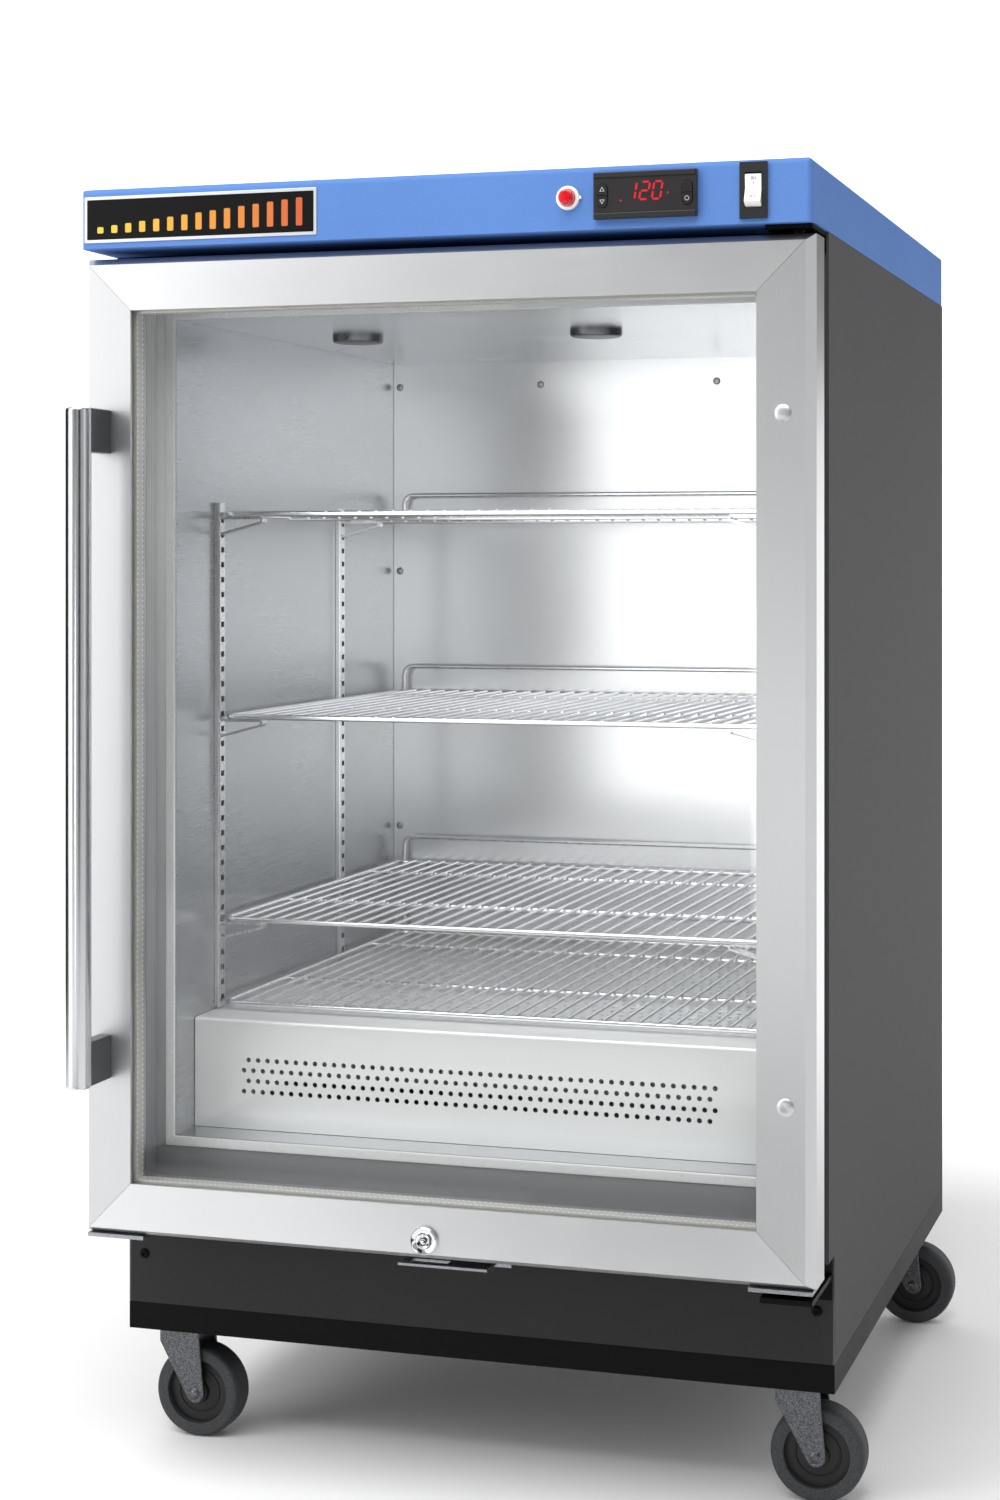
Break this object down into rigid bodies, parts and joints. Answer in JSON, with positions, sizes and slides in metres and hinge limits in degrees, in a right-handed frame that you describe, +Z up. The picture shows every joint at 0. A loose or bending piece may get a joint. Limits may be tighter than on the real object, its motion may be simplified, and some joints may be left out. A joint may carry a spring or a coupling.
{
  "type": "blanket warming cabinet",
  "caption": "Heated cabinet on swivel casters with a hinged double-glazed door, tubular handle, wire shelves, heater box with fan, and a painted fascia with controller and switch.",
  "frame": {"origin": "on the floor, under the middle of the outline of the whole part at rest, handle and trailing wheels included", "axes": "+Z up, -Y out of the door's front, +X towards the hinged edge, which is at the right of someone facing the door"},
  "size_m": [0.618, 0.673, 1.037],
  "materials": {
    "grey_paint": "satin",
    "black_plastic": "satin",
    "blue_paint": "satin",
    "black_paint": "satin",
    "kick_steel": "satin",
    "insulation_fibre": "matte",
    "liner_steel": "satin",
    "shelf_wire": "polished",
    "heater_sheath": "satin",
    "zinc_steel": "satin",
    "door_frame": "satin",
    "door_glass": "gloss",
    "spacer_metal": "satin",
    "gasket_rubber": "matte",
    "handle_chrome": "polished",
    "handle_post": "satin",
    "lock_chrome": "polished",
    "controller_black": "satin",
    "key_grey": "satin",
    "rocker_white": "satin",
    "lamp_red": "gloss",
    "wheel_rubber": "matte"
  },
  "bodies": {
    "cabinet": {"side_panel_left": "grey_paint", "side_panel_right": "grey_paint", "rear_panel": "grey_paint", "power_inlet": "black_plastic", "top_cover": "blue_paint", "base_tray": "black_paint", "kick_plate": "kick_steel", "front_frame": "black_plastic", "insulation": "insulation_fibre", "liner_left": "liner_steel", "liner_right": "liner_steel", "liner_back": "liner_steel", "liner_top": "liner_steel", "liner_floor": "liner_steel", "pilaster_front_left": "liner_steel", "pilaster_front_right": "liner_steel", "pilaster_rear_left": "liner_steel", "pilaster_rear_right": "liner_steel", "shelf_bottom": "shelf_wire", "shelf_lower": "shelf_wire", "shelf_middle": "shelf_wire", "shelf_upper": "shelf_wire", "heater_cover": "liner_steel", "heater_element": "heater_sheath", "fan_motor": "zinc_steel", "strike_plate": "zinc_steel", "hinge_bracket_top": "black_paint", "hinge_bracket_bottom": "black_paint", "controller_housing": "controller_black", "switch_bezel": "black_plastic", "indicator_lamp": "lamp_red"},
    "door": {"door_rail_top": "door_frame", "door_rail_bottom": "door_frame", "door_stile_left": "door_frame", "door_stile_right": "door_frame", "door_glass_outer": "door_glass", "glass_spacer": "spacer_metal", "door_glass_inner": "door_glass", "door_gasket": "gasket_rubber", "handle_bar": "handle_chrome", "handle_post_lower": "handle_post", "handle_post_upper": "handle_post", "lock_body": "lock_chrome", "door_foot_plate_left": "zinc_steel", "door_foot_plate_right": "zinc_steel"},
    "lock": {"lock_plug": "lock_chrome"},
    "rocker": {"switch_rocker": "rocker_white"},
    "up_key": {"key_up": "key_grey"},
    "down_key": {"key_down": "key_grey"},
    "mode_key": {"key_mode": "key_grey"},
    "set_key": {"key_set": "key_grey"},
    "fan": {"fan_blade": "zinc_steel"},
    "swivel_front_left": {"caster_fork_front_left": "zinc_steel"},
    "wheel_front_left": {"caster_wheel_front_left": "wheel_rubber"},
    "swivel_front_right": {"caster_fork_front_right": "zinc_steel"},
    "wheel_front_right": {"caster_wheel_front_right": "wheel_rubber"},
    "swivel_rear_left": {"caster_fork_rear_left": "zinc_steel"},
    "wheel_rear_left": {"caster_wheel_rear_left": "wheel_rubber"},
    "swivel_rear_right": {"caster_fork_rear_right": "zinc_steel"},
    "wheel_rear_right": {"caster_wheel_rear_right": "wheel_rubber"}
  },
  "joints": [
    {"name": "door_hinge", "type": "hinge", "parent": "cabinet", "child": "door", "pos_m": [0.276, -0.2645, 0.59], "axis": [0, 0, 1], "range_deg": [0, 110]},
    {"name": "lock_turn", "type": "hinge", "parent": "door", "child": "lock", "pos_m": [-0.015, -0.2715, 0.214], "axis": [0, -1, 0], "range_deg": [0, 90]},
    {"name": "switch_rock", "type": "hinge", "parent": "cabinet", "child": "rocker", "pos_m": [0.2465, -0.2835, 1.0135], "axis": [1, 0, 0], "range_deg": [0, 20]},
    {"name": "up_key_press", "type": "slide", "parent": "cabinet", "child": "up_key", "axis": [0, 1, 0], "range_m": [0, 0.0008], "stiffness_N_per_m": 500},
    {"name": "down_key_press", "type": "slide", "parent": "cabinet", "child": "down_key", "axis": [0, 1, 0], "range_m": [0, 0.0008], "stiffness_N_per_m": 500},
    {"name": "mode_key_press", "type": "slide", "parent": "cabinet", "child": "mode_key", "axis": [0, 1, 0], "range_m": [0, 0.0008], "stiffness_N_per_m": 500},
    {"name": "set_key_press", "type": "slide", "parent": "cabinet", "child": "set_key", "axis": [0, 1, 0], "range_m": [0, 0.0008], "stiffness_N_per_m": 500},
    {"name": "fan_spin", "type": "hinge", "parent": "cabinet", "child": "fan", "pos_m": [-0.069, 0.1435, 0.319], "axis": [0, 0, 1], "continuous": true},
    {"name": "swivel_turn_front_left", "type": "hinge", "parent": "cabinet", "child": "swivel_front_left", "pos_m": [-0.275, -0.1645, 0.097], "axis": [0, 0, 1], "continuous": true},
    {"name": "wheel_spin_front_left", "type": "hinge", "parent": "swivel_front_left", "child": "wheel_front_left", "pos_m": [-0.261, -0.1645, 0.038], "axis": [0, 1, 0], "continuous": true},
    {"name": "swivel_turn_front_right", "type": "hinge", "parent": "cabinet", "child": "swivel_front_right", "pos_m": [0.257, -0.1645, 0.097], "axis": [0, 0, 1], "continuous": true},
    {"name": "wheel_spin_front_right", "type": "hinge", "parent": "swivel_front_right", "child": "wheel_front_right", "pos_m": [0.271, -0.1645, 0.038], "axis": [0, 1, 0], "continuous": true},
    {"name": "swivel_turn_rear_left", "type": "hinge", "parent": "cabinet", "child": "swivel_rear_left", "pos_m": [-0.275, 0.2965, 0.097], "axis": [0, 0, 1], "continuous": true},
    {"name": "wheel_spin_rear_left", "type": "hinge", "parent": "swivel_rear_left", "child": "wheel_rear_left", "pos_m": [-0.261, 0.2965, 0.038], "axis": [0, 1, 0], "continuous": true},
    {"name": "swivel_turn_rear_right", "type": "hinge", "parent": "cabinet", "child": "swivel_rear_right", "pos_m": [0.257, 0.2965, 0.097], "axis": [0, 0, 1], "continuous": true},
    {"name": "wheel_spin_rear_right", "type": "hinge", "parent": "swivel_rear_right", "child": "wheel_rear_right", "pos_m": [0.271, 0.2965, 0.038], "axis": [0, 1, 0], "continuous": true}
  ]
}
